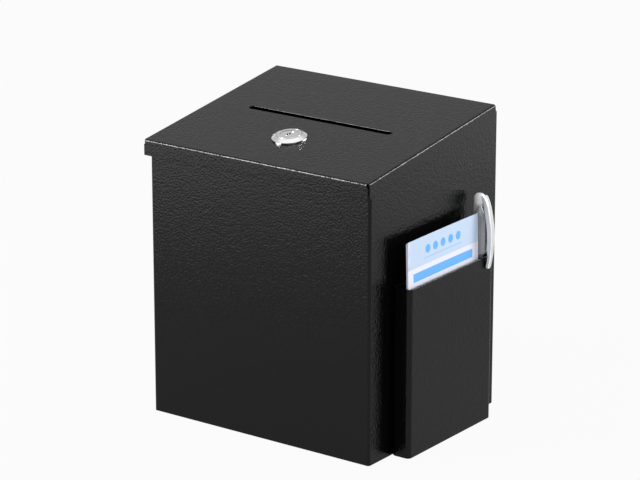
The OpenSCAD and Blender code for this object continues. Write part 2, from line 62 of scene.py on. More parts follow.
# %% [markdown]
# ## The camera
# A product is usually seen from a little above, with a long lens that keeps its upright edges nearly
# parallel. A camera could be turned by hand, but three numbers say it better: the compass angle round the
# object, the height above the horizon, and the distance. We work the place out from them and let the camera
# look back.

# %% Camera
AZIMUTH = radians(35.96)
ELEVATION = radians(17.43)
DISTANCE = 2.1228
LOOK_AT = Vector((-0.0227, 0.0262, 0.110))
FOCAL_MM = 172.03

towards = Vector((sin(AZIMUTH) * cos(ELEVATION), -cos(AZIMUTH) * cos(ELEVATION), sin(ELEVATION)))
lens = bpy.data.cameras.new("camera")
lens.lens = FOCAL_MM
lens.sensor_width = 36
lens.clip_start = 0.1
lens.clip_end = 50
camera = bpy.data.objects.new("camera", lens)
camera.rotation_mode = "QUATERNION"
camera.location = LOOK_AT + DISTANCE * towards
camera.rotation_quaternion = towards.to_track_quat("Z", "Y")
bpy.context.scene.collection.objects.link(camera)
bpy.context.scene.camera = camera
bpy.context.scene.view_settings.view_transform = "Standard"
print("camera stands at", [round(x, 3) for x in camera.location])

# %% [markdown]
# ## Finishes as formulas
# A finish is a small sum: rough here, smoother there, a scratch where two patterns meet. Blender keeps such
# sums as Math nodes, which are slow to read. This class wraps one socket, so that Python's own signs add
# the nodes, and every other kind of node comes from one method: its settings first, then its sockets.


# %% A class that writes shader sums
# The Mix node has sockets for every kind of value under the same names, so those for colour go by number.
MIX_FACTOR = 0
MIX_FIRST = 6
MIX_SECOND = 7
MIX_COLOUR = 2


class Term:
    """One value in a finish. Sums on it add Math nodes, and node() adds any other kind."""

    def __init__(self, tree, socket):
        self.tree = tree
        self.socket = socket

    def node(self, kind, settings=None, sockets=None, out=0):
        """Adds a node: its settings are set, then its sockets are given values or linked to other terms."""
        made = self.tree.nodes.new(kind)
        for key, value in (settings or {}).items():
            setattr(made, key, value)
        for key, value in (sockets or {}).items():
            if isinstance(value, Term):
                self.tree.links.new(value.socket, made.inputs[key])
            else:
                made.inputs[key].default_value = value
        return Term(self.tree, made.outputs[out])

    def math(self, operation, *values):
        """One Math node on the given values."""
        return self.node("ShaderNodeMath", {"operation": operation}, dict(enumerate(values)))

    def alone(self, operation):
        """An operation on this value alone, such as FRACT or SQRT."""
        return self.math(operation, self)

    def __add__(self, other):
        return self.math("ADD", self, other)

    def __sub__(self, other):
        return self.math("SUBTRACT", self, other)

    def __rsub__(self, other):
        return self.math("SUBTRACT", other, self)

    def __mul__(self, other):
        return self.math("MULTIPLY", self, other)

    def __truediv__(self, other):
        return self.math("DIVIDE", self, other)

    def __gt__(self, other):
        return self.math("GREATER_THAN", self, other)

    def __lt__(self, other):
        return self.math("LESS_THAN", self, other)

    __radd__ = __add__
    __rmul__ = __mul__

    def between(self, low, high):
        """0 below low, 1 above high, and a smooth step from one to the other."""
        sockets = {"Value": self, "From Min": low, "From Max": high}
        return self.node("ShaderNodeMapRange", {"interpolation_type": "SMOOTHSTEP"}, sockets)

    def tint(self, first, second):
        """A colour that goes from first to second as this value goes from 0 to 1."""
        first, second = (end if isinstance(end, Term) else (*end, 1) for end in (first, second))
        sockets = {MIX_FACTOR: self, MIX_FIRST: first, MIX_SECOND: second}
        return self.node("ShaderNodeMix", {"data_type": "RGBA"}, sockets, out=MIX_COLOUR)

    def parts(self):
        """The three numbers of a vector, as three terms."""
        split = self.node("ShaderNodeSeparateXYZ", sockets={0: self}).socket.node
        return [Term(self.tree, socket) for socket in split.outputs]


# %% [markdown]
# Every finish starts in the same way: an empty material with one surface shader and the place of each point
# on the object in metres. `finish` makes that start, hands the place to a short function for what varies,
# and sets what is the same all over. `noise` and `cells` are the two patterns that nearly all of them
# share.


# %% A start for every finish
def fresh_tree(owner):
    """Empties the nodes of a material or a world, and returns a term to start new ones from."""
    owner.use_nodes = True
    owner.node_tree.nodes.clear()
    return Term(owner.node_tree, None)


def show(surface, kind="ShaderNodeOutputMaterial"):
    """Links a surface to the output of its tree."""
    output = surface.tree.nodes.new(kind)
    surface.tree.links.new(surface.socket, output.inputs["Surface"])


def finish(name, vary, **constants):
    """A material: vary(place) returns the sockets that change over it, and constants are the rest."""
    material = bpy.data.materials.new(name)
    place = fresh_tree(material).node("ShaderNodeTexCoord", out="Object")
    show(place.node("ShaderNodeBsdfPrincipled", sockets={**constants, **vary(place)}))
    print("finish:", name)
    return material


def noise(place, size, detail=2.0):
    """Soft random lumps about size metres across, from 0 to 1."""
    return place.node("ShaderNodeTexNoise", sockets={"Vector": place, "Scale": 1 / size, "Detail": detail})


def cells(place, size, feature="SMOOTH_F1"):
    """The distance to the nearest of many scattered points, about size metres apart."""
    sockets = {"Vector": place, "Scale": 1 / size, "Randomness": 1.0}
    if feature == "SMOOTH_F1":
        sockets["Smoothness"] = 0.6
    return place.node("ShaderNodeTexVoronoi", {"feature": feature}, sockets)


def bump(height, depth):
    """The normal of a surface that stands height times depth metres proud."""
    return height.node("ShaderNodeBump", sockets={"Height": height, "Distance": depth})


# %% [markdown]
# ## Black powder coat
# The coat is dry plastic powder, blown on and baked until it flows. It never flows quite flat: it keeps a
# leathery skin of round pebbles a little over a millimetre apart, on slower swells of three millimetres.
# The black takes nearly all light, so what we see is gloss: roughness and bump matter here, and colour
# hardly.


# %% Powder coat
PEBBLE = 1.35 * MM
SWELL = 3.2 * MM
COAT_DEPTH = 0.16 * MM


def powder_coat(place):
    """Glossy black with a pebbled skin, and a little dust that dulls it here and there."""
    pebbles = cells(place, PEBBLE)
    swells = noise(place, SWELL, 1.0)
    flow = noise(place, 38 * MM, 1.0)
    dust = noise(place, 5 * MM, 3.0).between(0.60, 0.78)
    return {
        "Base Color": dust.tint((0.0008, 0.0008, 0.0009), (0.0022, 0.0022, 0.0023)),
        "Roughness": 0.15 + 0.04 * flow + 0.05 * dust,
        "Normal": bump(0.5 * swells - pebbles, COAT_DEPTH),
    }


black_coat = finish("powder_black", powder_coat, IOR=1.36)


# %% [markdown]
# ## Bare metals
# Four metals show: zinc-plated steel on the cam and its fittings, polished chrome on the lock, yellow brass
# on the wafers, and the pen's nib. Metal has no colour of its own under the gloss, so each is one metallic
# shader. Zinc has pale crystals of two or three millimetres; chrome has fine scratches from keys that
# missed the slot.


# %% Metals
cam_turn = next(joint for joint in frame["joints"] if joint["name"] == "cam_turn")
lock_place = np.array(cam_turn["pos_m"])
lock_up = -np.array(cam_turn["axis"])

# The lock's sizes are in millimetres: R is out from its axis, and Z is up from the lid. GROOVE_R, FACE_Z and the
# KEYWAY sizes only place painted shade on the chrome.
PLUG_BORE_R = 6.05
GROOVE_R = 8.72
FACE_Z = 2.4
KEYWAY_HALF_W = 0.86
KEYWAY_R = 4.2
KEYWAY_Z = 2.2


def zinc_plate(place):
    """Grey plate in pale crystals, under a thin film that dulls it unevenly."""
    crystals = cells(place, 2.6 * MM, "F1").between(0.0, 0.9)
    film = noise(place, 9 * MM, 3.0)
    return {
        "Base Color": (0.6 * film + 0.4 * crystals).tint((0.50, 0.52, 0.54), (0.66, 0.67, 0.66)),
        "Roughness": 0.30 + 0.16 * film,
        "Normal": bump(crystals, 0.02 * MM),
    }


def round_lock(place):
    """Places on the lock: across the keyway, out from the axis, and up along the axis, in metres."""
    x, y, z = place.parts()
    across, back, rise = x - lock_place[0], y - lock_place[1], z - lock_place[2]
    up = back * lock_up[1] + rise * lock_up[2]
    out = (across * across + back * back + rise * rise - up * up).alone("SQRT")
    return across, out, up


def polished_chrome(place):
    """Painted shade darkens the ring round the plug, the groove round the face and the inside of the keyway."""
    x, y, z = place.parts()
    across, out, up = round_lock(place)
    ring = 1 - (out - PLUG_BORE_R * MM).alone("ABSOLUTE").between(0.05 * MM, 0.22 * MM)
    groove = 1 - (out - GROOVE_R * MM).alone("ABSOLUTE").between(0.12 * MM, 0.34 * MM)
    # Painted shade: the ring round the plug and the groove round the face are darkened and dulled.
    groove_shade = (ring + groove) * (up > FACE_Z * MM)
    in_keyway = (across.alone("ABSOLUTE") < KEYWAY_HALF_W * MM) * (out < KEYWAY_R * MM)
    # Painted shade inside the keyway.
    keyway_shade = in_keyway * (up < KEYWAY_Z * MM)
    stretched = place.node("ShaderNodeCombineXYZ", sockets={0: x * 0.12, 1: y, 2: z * 0.4})
    scratches = noise(stretched, 0.25 * MM, 2.0).between(0.60, 0.72)
    smear = noise(place, 4 * MM, 2.0)
    clean = smear.tint((0.90, 0.90, 0.91), (0.97, 0.97, 0.97))
    return {
        # The dark colour is painted shade in the ring, the groove and the keyway.
        "Base Color": (groove_shade * 0.8 + keyway_shade * 0.98).tint(clean, (0.012, 0.011, 0.010)),
        "Roughness": 0.13 + 0.08 * smear + 0.12 * scratches + 0.4 * (groove_shade + keyway_shade),
        "Normal": bump(smear + 0.15 * scratches, 0.008 * MM),
    }


def drawn_metal(dull, bright, low):
    """Wire or turned metal, with fine lines round its axis."""

    def vary(place):
        x, y, z = place.parts()
        along = place.node("ShaderNodeCombineXYZ", sockets={0: x * 0.1, 1: y * 0.1, 2: z})
        lines = noise(along, 0.15 * MM)
        return {"Base Color": lines.tint(dull, bright), "Roughness": low + 0.12 * lines}

    return vary


zinc_steel = finish("zinc_steel", zinc_plate, Metallic=1.0)
lock_chrome = finish("lock_chrome", polished_chrome, Metallic=1.0)
brass = finish("brass", drawn_metal((0.30, 0.20, 0.07), (0.42, 0.30, 0.12), 0.34), Metallic=1.0)
nib_metal = finish("nib_metal", drawn_metal((0.16, 0.17, 0.19), (0.24, 0.25, 0.27), 0.34), Metallic=1.0)

# %% [markdown]
# ## Plastics
# The pen is a cheap clear one. Its cap is moulded in milky polypropylene, which lets light in and scatters
# it, so it is half glass and half white. Its barrel is clear styrene, through which the dark blue ink tube
# shows.


# %% Plastics
def moulded(first, second, rough):
    """Moulded plastic: faint cloudy flow lines in its colour and its gloss."""

    def vary(place):
        cloud = noise(place, 6 * MM)
        return {"Base Color": cloud.tint(first, second), "Roughness": rough + 0.08 * cloud}

    return vary


def milky(place):
    """White at the crown and in the clip, and half clear in the wall of the cup."""
    x, _, z = place.parts()
    cloud = noise(place, 5 * MM)
    solid = z.between(MILKY_FROM, MILKY_TO)
    on_clip = x > CLIP_FROM
    clear = (1 - solid) * (1 - on_clip)
    return {
        "Base Color": cloud.tint((0.90, 0.91, 0.92), (0.96, 0.97, 0.97)),
        "Roughness": 0.12 + 0.10 * cloud,
        "Alpha": 0.96 - (0.80 + 0.05 * cloud) * clear,
    }


pen_middle = np.array(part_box("pen_barrel")).mean(axis=0)
cap_low, cap_high = np.array(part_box("pen_cap"))
MILKY_TO = cap_high[2] - 5 * MM
MILKY_FROM = MILKY_TO - 4 * MM
CLIP_FROM = pen_middle[0] + 4.7 * MM
milky_plastic = finish("milky_plastic", milky, IOR=1.28)


def clear_tube(place):
    """Nearly clear, with faint lines from the mould."""
    lines = noise(place, 4 * MM, 1.0)
    return {
        "Base Color": lines.tint((0.70, 0.78, 0.86), (0.82, 0.88, 0.93)),
        "Roughness": 0.04 + 0.06 * lines,
        "Alpha": 0.03 + 0.03 * lines,
    }


clear_plastic = finish("clear_plastic", clear_tube, IOR=1.30)
ink = finish("ink", moulded((0.012, 0.020, 0.045), (0.022, 0.034, 0.070), 0.25))
blue_plastic = finish("blue_plastic", moulded((0.020, 0.050, 0.16), (0.030, 0.070, 0.20), 0.28))

# %% [markdown]
# ## Printed card
# The front card is a form to fill in: a pale blue head with a row of dots and a thin rule, a broad stripe,
# and lines to write on. The print needs to know where it is on the card, so each point of a card keeps its
# own place as an attribute: how far across, how far down from the top, and whether it is on the printed
# front.

# %% Card print
HEAD_BLUE = (0.56, 0.69, 0.88)
PAPER = (0.82, 0.83, 0.95)
PRINT_BLUE = (0.10, 0.44, 0.95)
# Where the print lies, in millimetres down from the card's top edge and across from its side.
HEAD_H = 19.5
DOTS = 5
DOT_R = 2.9
DOT_PITCH = 9.0
DOTS_LEFT = 19.0
DOTS_DOWN = 9.5
RULE_DOWN = (15.0, 15.6)
RULE_ACROSS = (19.0, 64.0)
STRIPE_DOWN = (23.0, 29.0)
STRIPE_ACROSS = (6.2, 76.4)
LINE_PITCH = 8.0
LINE_SHARE = 0.06
LINES_DOWN = 36.0
LINES_ACROSS = (6.0, 77.0)


def within(value, ends):
    """1 where a value in metres lies between two ends in millimetres, and 0 elsewhere."""
    return (value > ends[0] * MM) * (value < ends[1] * MM)


def card_print(place):
    """The form's print on the marked front, and plain paper elsewhere."""
    marks = place.node("ShaderNodeAttribute", {"attribute_name": "print_place"}, out="Vector")
    across, down, front = marks.parts()
    fibre = noise(place, 0.8 * MM)
    head = down < HEAD_H * MM
    stripe = within(down, STRIPE_DOWN) * within(across, STRIPE_ACROSS)
    step = (across - DOTS_LEFT * MM) / (DOT_PITCH * MM)
    beside = (step.alone("FRACT") - 0.5) * (DOT_PITCH * MM)
    above = down - DOTS_DOWN * MM
    round_dot = (beside * beside + above * above).alone("SQRT") < DOT_R * MM
    dots = round_dot * (step > 0.0) * (step < DOTS)
    rule = within(down, RULE_DOWN) * within(across, RULE_ACROSS)
    line_step = (down - LINES_DOWN * MM) / (LINE_PITCH * MM)
    lines = (line_step.alone("FRACT") < LINE_SHARE) * (line_step > 0.0) * within(across, LINES_ACROSS)
    paper = (head * front).tint(PAPER, HEAD_BLUE)
    ink_share = 0.95 * front * (stripe + dots) + 0.55 * front * (rule + lines)
    return {
        "Base Color": ink_share.tint(paper, PRINT_BLUE),
        "Roughness": 0.42 + 0.10 * fibre,
        "Normal": bump(fibre, 0.02 * MM),
    }


printed_card = finish("printed_card", card_print)

# %% [markdown]
# ## A plain studio
# The floor and the walls are white, so the box stands on a clear page. The eye sees that page, and so do
# the gloss of the coat and the chrome. A black gloss shows little but what it mirrors, so two things shape
# it here: the floor keeps more of the box's shadow in a mirror, and the wall is a little greyer above the
# horizon.

# %% Floor and world
# Strengths are of white light, where 1 is a white page. Rises are heights in the sky: 0 level, 1 overhead.
WHITE_LIGHT = (1, 1, 1, 1)
FLOOR_HALF = 6.0
FLOOR_DROP = 0.2 * MM
FLOOR_PAINT = 0.22
SHADE_SEEN = 0.05
SHADE_MIRRORED = 0.57
WALL_LIGHT = 0.47
WALL_GREYER = 0.46
WALL_RISE = (0.05, 0.30)
CEILING_MORE = 0.45
CEILING_RISE = (0.65, 0.90)


def ray_kinds(start):
    """Three terms, each 1 for its own rays: from the eye, off gloss, and through clear plastic."""
    rays = start.node("ShaderNodeLightPath").socket.node.outputs
    names = ("Is Camera Ray", "Is Glossy Ray", "Is Transmission Ray")
    return [Term(start.tree, rays[name]) for name in names]


def floor_finish():
    """A white page with some of the box's shadow; to the light itself it is a plain pale floor."""
    material = bpy.data.materials.new("pale_floor")
    start = fresh_tree(material)
    eye, gloss, clear = ray_kinds(start)
    lit = start.node("ShaderNodeBsdfDiffuse", sockets={"Color": (FLOOR_PAINT, FLOOR_PAINT, FLOOR_PAINT, 1)})
    white = start.node("ShaderNodeEmission", sockets={"Color": WHITE_LIGHT, "Strength": 1.0})
    shade = SHADE_SEEN + (SHADE_MIRRORED - SHADE_SEEN) * gloss
    page = start.node("ShaderNodeMixShader", sockets={0: shade, 1: white, 2: lit})
    show(start.node("ShaderNodeMixShader", sockets={0: eye + gloss + clear, 1: lit, 2: page}))
    return material


def studio_world():
    """White at the horizon and a little greyer above it where it is seen, and a pale room for the light."""
    world = bpy.data.worlds.new("studio")
    start = fresh_tree(world)
    eye, gloss, clear = ray_kinds(start)
    seen = eye + gloss + clear
    height = start.node("ShaderNodeTexCoord", out="Generated").parts()[2]
    page = 1 - WALL_GREYER * height.between(*WALL_RISE)
    ceiling = CEILING_MORE * height.between(*CEILING_RISE)
    strength = seen * page + WALL_LIGHT * (1 - seen) + ceiling
    back = start.node("ShaderNodeBackground", sockets={"Color": WHITE_LIGHT, "Strength": strength})
    show(back, "ShaderNodeOutputWorld")
    world.cycles.sampling_method = "NONE"
    bpy.context.scene.world = world


corner = np.array([[-1, -1, 0], [1, -1, 0], [1, 1, 0], [-1, 1, 0]]) * FLOOR_HALF
floor_mesh = bpy.data.meshes.new("floor")
floor_mesh.from_pydata(corner.tolist(), [], [(0, 1, 2, 3)])
floor = bpy.data.objects.new("floor", floor_mesh)
floor.location.z = -FLOOR_DROP
floor_mesh.materials.append(floor_finish())
bpy.context.scene.collection.objects.link(floor)
studio_world()

# %% [markdown]
# ## Lamps
# Two larger lamps, in front on the left and behind on the right, light the card, the pen and the lock, and
# a weak one keeps the right side open. Two small panels stand close to the box and low down. They add
# almost no light, but the pebbles of the coat catch them, which gives the flat sheets their fine grain.


# %% Lamps
def softbox(name, place, wide, high, watts):
    """An area lamp that looks at the middle of the box and isn't seen itself."""
    lamp = bpy.data.lights.new(name, "AREA")
    lamp.shape = "RECTANGLE"
    lamp.size = wide
    lamp.size_y = high
    lamp.energy = watts
    holder = bpy.data.objects.new(name, lamp)
    holder.visible_camera = False
    holder.rotation_mode = "QUATERNION"
    holder.location = place
    holder.rotation_quaternion = (Vector(place) - LOOK_AT).to_track_quat("Z", "Y")
    bpy.context.scene.collection.objects.link(holder)


softbox("front_left", (-1.37, -1.75, 1.06), 0.7, 1.0, 74)
softbox("behind_right", (1.62, 1.66, 0.75), 1.0, 0.6, 36)
softbox("right_front", (2.0, -1.0, 0.9), 0.8, 0.8, 14)
softbox("low_left", (-0.39, -0.50, 0.11), 0.5, 0.2, 0.42)
softbox("low_right", (0.40, 0.44, 0.11), 0.5, 0.2, 0.14)

# %% [markdown]
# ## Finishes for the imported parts
# Parts whose shape is right as packed keep their mesh and take a finish. The record names a material slot
# for each, and this table gives the finish for each slot.

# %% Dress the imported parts
SLOT_FINISH = {
    "powder_black": black_coat,
    "zinc_steel": zinc_steel,
    "lock_chrome": lock_chrome,
    "brass": brass,
    "card_stock": printed_card,
    "clear_plastic": clear_plastic,
    "ink": ink,
    "nib_metal": nib_metal,
    "blue_plastic": blue_plastic,
}
for part in frame["record"]["subparts"]:
    for slot in nodes[part["node"]].material_slots:
        slot.material = SLOT_FINISH[part["material_slot"]]

# %% [markdown]
# ## Surfaces as grids of points
# A lathe turns a profile round an axis, a pen clip is one section carried along a bent path, and a card is
# a flat sheet with a slight bow. To us they are one thing: a grid of points worked out by a formula, with a
# face in each of its squares. `new_piece` lays such grids down, welds their seams and poles, turns the
# faces outwards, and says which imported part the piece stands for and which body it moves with.


# %% From grids to pieces
SAME_PLACE = 0.002 * MM


def grid_faces(rows, columns, first):
    """Each face joins a point to its neighbours in the next row and the next column."""
    corner = first + columns * np.arange(rows - 1)[:, None] + np.arange(columns - 1)
    return np.stack([corner, corner + columns, corner + columns + 1, corner + 1], axis=-1).reshape(-1, 4)


def weld(mesh):
    """Merges points that lie on each other, drops what has no area and turns the faces outwards."""
    shape = bmesh.new()
    shape.from_mesh(mesh)
    bmesh.ops.remove_doubles(shape, verts=shape.verts, dist=SAME_PLACE)
    bmesh.ops.dissolve_degenerate(shape, edges=shape.edges, dist=SAME_PLACE)
    bmesh.ops.recalc_face_normals(shape, faces=shape.faces)
    shape.to_mesh(mesh)
    shape.free()


def take_place(name, mesh, material, body, slot, stands_for, sharp=32):
    """Makes the object for a finished mesh: smooth but for edges sharper than sharp degrees."""
    mesh.shade_smooth()
    mesh.set_sharp_from_angle(angle=radians(sharp))
    mesh.materials.append(material)
    piece = bpy.data.objects.new(name, mesh)
    bpy.context.scene.collection.objects.link(piece)
    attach(piece, body)
    if stands_for:
        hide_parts(stands_for)
    print(f"{name}: {len(mesh.polygons)} faces, moves with {body}")
    return piece


def new_piece(name, grids, material, body, slot, stands_for=None, sharp=32, marks=None):
    """One welded object from grids of rows by columns by 3; their points keep marks as print_place."""
    starts = np.cumsum([0] + [grid.shape[0] * grid.shape[1] for grid in grids])
    points = np.concatenate([grid.reshape(-1, 3) for grid in grids])
    numbered = zip(grids, starts)
    faces = np.concatenate([grid_faces(*grid.shape[:2], first) for grid, first in numbered])
    mesh = bpy.data.meshes.new(name)
    mesh.from_pydata(points.tolist(), [], faces.tolist())
    if marks is not None:
        kept = mesh.attributes.new("print_place", "FLOAT_VECTOR", "POINT")
        kept.data.foreach_set("vector", np.concatenate([mark.ravel() for mark in marks]))
    weld(mesh)
    take_place(name, mesh, material, body, slot, stands_for, sharp)


# %% [markdown]
# A few shapers do for all the small parts. `eased` rounds the corners of a path, because nothing that is
# cast or moulded has a true corner. `through` draws a smooth path through a few points. `lathe` turns a
# profile, and `carry` takes a section along a path. They work in millimetres round the part's own axis, and
# `stand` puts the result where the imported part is.


# %% Shapers
def eased(corners, cut, steps=4):
    """Each inner corner b is cut back to a and c, and bridged by (1-t)^2 a + 2t(1-t) b + t^2 c."""
    corners = np.asarray(corners, float)
    middle = corners[1:-1]
    before = corners[:-2] - middle
    after = corners[2:] - middle
    length_before = np.linalg.norm(before, axis=1, keepdims=True)
    length_after = np.linalg.norm(after, axis=1, keepdims=True)
    reach = np.minimum(np.minimum(length_before, length_after) * 0.48, cut)
    a = middle + before / length_before * reach
    c = middle + after / length_after * reach
    t = np.linspace(0, 1, steps + 1)[:, None, None]
    bridge = (1 - t) ** 2 * a + 2 * t * (1 - t) * middle + t**2 * c
    inner = bridge.transpose(1, 0, 2).reshape(-1, corners.shape[1])
    return np.concatenate([corners[:1], inner, corners[-1:]])


def through(points, steps=12):
    """From b to c the path is the cubic whose slopes there are (c - a)/2 and (d - b)/2."""
    points = np.asarray(points, float)
    longer = np.concatenate([2 * points[:1] - points[1:2], points, 2 * points[-1:] - points[-2:-1]])
    a, b, c, d = (longer[k : len(longer) - 3 + k, None] for k in range(4))
    t = np.linspace(0, 1, steps, endpoint=False)[None, :, None]
    square = (a - 2.5 * b + 2 * c - d / 2) * t**2
    cubic = b + (c - a) * t / 2 + square + (1.5 * (b - c) + (d - a) / 2) * t**3
    return np.concatenate([cubic.reshape(-1, points.shape[1]), points[-1:]])


def spaced(path, distances):
    """The points of a path at the given distances along it."""
    run = np.concatenate([[0], np.cumsum(np.linalg.norm(np.diff(path, axis=0), axis=1))])
    return np.stack([np.interp(distances, run, path[:, k]) for k in range(path.shape[1])], axis=-1)


def lathe(profile, steps=72, first=0, last=360):
    """A profile point (r, z) turned by angle a lies at (r cos a, r sin a, z)."""
    r, z = np.transpose(profile)
    a = np.radians(np.linspace(first, last, steps + 1))
    return np.stack([np.outer(r, np.cos(a)), np.outer(r, np.sin(a)), np.outer(z, np.ones_like(a))], axis=-1)


def carry(path, section, side, width, thickness):
    """Section point (s, u) lies at path + width s side + thickness u up.

    The direction up is square to the path and to side.
    """
    ahead = np.gradient(path, axis=0)
    up = np.cross(np.broadcast_to(side, ahead.shape), ahead)
    up /= np.linalg.norm(up, axis=1, keepdims=True)
    s, u = np.transpose(section)
    across = (width[:, None] * s)[..., None] * np.asarray(side, float)
    return path[:, None] + across + (thickness[:, None] * u)[..., None] * up[:, None]


def slab(outline, places, sizes):
    """A closed outline repeated at each place along y, drawn in to its middle by each size."""
    outline = np.asarray(outline, float)
    middle = outline[:-1].mean(axis=0)
    drawn = middle + np.asarray(sizes, float)[:, None, None] * (outline - middle)
    along = np.broadcast_to(np.asarray(places, float)[:, None], drawn.shape[:2])
    return np.stack([drawn[..., 0], along, drawn[..., 1]], axis=-1)


def turned(grid, degrees):
    """A grid turned about z."""
    c, s = cos(radians(degrees)), sin(radians(degrees))
    return grid @ np.array([[c, s, 0], [-s, c, 0], [0, 0, 1]])


def stand(grid, origin, up=(0, 0, 1)):
    """A grid in millimetres, put into the frame: z lies along up, x along X, and zero at origin."""
    x = np.array((1.0, 0.0, 0.0))
    up = np.asarray(up, float)
    return np.asarray(origin, float) + MM * (grid @ np.stack([x, np.cross(up, x), up]))


def round_ends(length, radius, rows=40):
    """Distances along a bar and its width there: a quarter circle of radius at each end closes it."""
    bend = np.linspace(0, np.pi / 2, 7)
    run_in = radius * (1 - np.cos(bend))
    middle = np.linspace(radius, length - radius, rows)[1:-1]
    distances = np.concatenate([run_in, middle, length - run_in[::-1]])
    widths = np.concatenate([np.sin(bend), np.ones(len(middle)), np.sin(bend[::-1])])
    return distances, widths


# %% [markdown]
# ## Folded sheets with a soft edge
# A sheared edge is sharp, but the coat draws back from it and leaves a small round. That round is what
# catches the light on every rim and cut of a real cabinet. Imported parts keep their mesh, so we work on a
# copy: its loose triangles are welded and joined into whole faces, a narrow bevel rounds each sharp edge,
# and weighted normals keep the large faces flat. Each copy then stands for its part.


# %% Soft-edged copies
FLAT_WITHIN = radians(0.4)
EDGE_FROM = radians(40)
SHEET_ROUND = 0.40 * MM
LEAF_ROUND = 0.15 * MM
SHEETS = (
    "body_shell",
    "back_panel",
    "bottom_pan",
    "side_pocket",
    "lid_shell",
    "hinge_body_leaf",
    "hinge_lid_leaf",
)


def soft_copy(node, material, body, slot, width):
    """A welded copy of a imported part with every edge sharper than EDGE_FROM rounded to width."""
    mesh = bpy.data.meshes.new("soft_" + node)
    shape = bmesh.new()
    shape.from_mesh(nodes[node].data)
    bmesh.ops.remove_doubles(shape, verts=shape.verts, dist=SAME_PLACE)
    bmesh.ops.dissolve_limit(shape, angle_limit=FLAT_WITHIN, verts=shape.verts, edges=shape.edges)
    shape.to_mesh(mesh)
    shape.free()
    for name in ("custom_normal", "sharp_edge", "sharp_face"):
        if name in mesh.attributes:
            mesh.attributes.remove(mesh.attributes[name])
    mesh.materials.clear()
    piece = take_place("soft_" + node, mesh, material, body, slot, node, sharp=180)
    bevel = piece.modifiers.new("round", "BEVEL")
    bevel.width = width
    bevel.segments = 2
    bevel.limit_method = "ANGLE"
    bevel.angle_limit = EDGE_FROM
    bevel.use_clamp_overlap = False
    bevel.miter_outer = "MITER_ARC"
    flat = piece.modifiers.new("flat", "WEIGHTED_NORMAL")
    flat.keep_sharp = False
    flat.weight = 80


slot_of = {part["node"]: part["material_slot"] for part in frame["record"]["subparts"]}
bodies = frame["record"]["behaviour"]["bodies"]
body_of = {node: body for body, held in bodies.items() for node in held}
for node in SHEETS:
    width = LEAF_ROUND if "leaf" in node else SHEET_ROUND
    soft_copy(node, SLOT_FINISH[slot_of[node]], body_of[node], slot_of[node], width)

# %% [markdown]
# ## The pen's cap and clip
# The cap is a milky cup with a round crown and a bead at its mouth, where the mould needs strength. The
# clip grows out of the crown, bows outwards and comes back to pinch the pocket's wall. A real one is a
# shallow channel: two rails with a web between, which is stiff with little plastic. We turn the cup on the
# lathe, and carry the channel's section along a smooth path whose ends close in a half circle.

# %% Cap and clip
# Millimetres from here on. The cap stands on z = 0, and the clip's path is drawn in the plane of x and z.
CAP_L = 42
CAP_R = 4.4
CAP_TOP_R = 4.1
CAP_WALL = 0.7
CROWN_H = 3.8
CAP_FLOOR = 5
BEAD_H = 1.6
BEAD = 0.22
CLIP_T = 1.8
CLIP_W = 5.0
CLIP_BOW = 3.6
CLIP_GAP = 0.3
TIP_ROUND = 2.2
CLIP_DEEPER = 1.5
CLIP_ROOT = [(0.6, CAP_L - 3.4), (2.8, CAP_L - 2.2), (4.4, CAP_L - 2.5)]
RAIL = 0.62
RAIL_SLOPE = 0.5
WEB = 0.25

cap_foot = np.array([*pen_middle[:2], cap_high[2] - CAP_L * MM])

quarter = np.radians(np.linspace(90, 0, 12))
crown = np.stack([CAP_TOP_R * np.cos(quarter) ** 0.8, CAP_L - CROWN_H * (1 - np.sin(quarter))], axis=-1)
crown[0, 0] = 0
skirt = eased(
    [
        crown[-1],
        (CAP_R, BEAD_H + 0.5),
        (CAP_R + BEAD, BEAD_H),
        (CAP_R + BEAD, 0),
        (CAP_R - CAP_WALL, 0),
        (CAP_R - CAP_WALL, CAP_L - CAP_FLOOR - 2.5),
        (0, CAP_L - CAP_FLOOR),
    ],
    0.25,
)
cup = lathe(np.concatenate([crown[:-1], skirt]))

pocket_face = (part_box("side_pocket")[1][0] - cap_foot[0]) / MM
clip_tip = np.array([pocket_face + CLIP_GAP + CLIP_T / 2, (cap_low[2] - cap_foot[2]) / MM + CLIP_T / 2])
clip_top = np.array([CAP_R + 1.1, CAP_L - 3.4])
chord = clip_top - clip_tip
outward = np.array([chord[1], -chord[0]]) / np.linalg.norm(chord)
down = np.linspace(0.08, 1, 9)[:, None]
bowed = clip_top - chord * down + CLIP_BOW * 4 * down * (1 - down) * outward
bend = through(np.concatenate([CLIP_ROOT, bowed]))
clip_length = np.linalg.norm(np.diff(bend, axis=0), axis=1).sum()
distances, widths = round_ends(clip_length, TIP_ROUND)
deep_between = [3, 12, clip_length - 14, clip_length - 9]
deeper = np.interp(distances, deep_between, [0, CLIP_DEEPER, CLIP_DEEPER, 0])
clip_line = spaced(bend, distances)
slope = np.gradient(clip_line, axis=0)
inward = np.stack([slope[:, 1], -slope[:, 0]], axis=-1) / np.linalg.norm(slope, axis=1, keepdims=True)
clip_line = clip_line + inward * deeper[:, None] / 2
clip_path = np.stack([clip_line[:, 0], np.zeros(len(distances)), clip_line[:, 1]], axis=-1)
HALF_W = CLIP_W / 2
HALF_T = CLIP_T / 2
channel = eased(
    [
        (0, -HALF_T),
        (HALF_W, -HALF_T),
        (HALF_W, HALF_T),
        (HALF_W - RAIL, HALF_T),
        (HALF_W - RAIL - RAIL_SLOPE, WEB),
        (RAIL + RAIL_SLOPE - HALF_W, WEB),
        (RAIL - HALF_W, HALF_T),
        (-HALF_W, HALF_T),
        (-HALF_W, -HALF_T),
        (0, -HALF_T),
    ],
    0.35,
)
taper = np.interp(distances, [0, 6, clip_length], [1.08, 1.0, 0.82])
clip_depth = np.minimum(1, widths * 1.4) * (1 + deeper / CLIP_T)
clip = carry(clip_path, channel, (0, -1, 0), widths * taper, clip_depth)
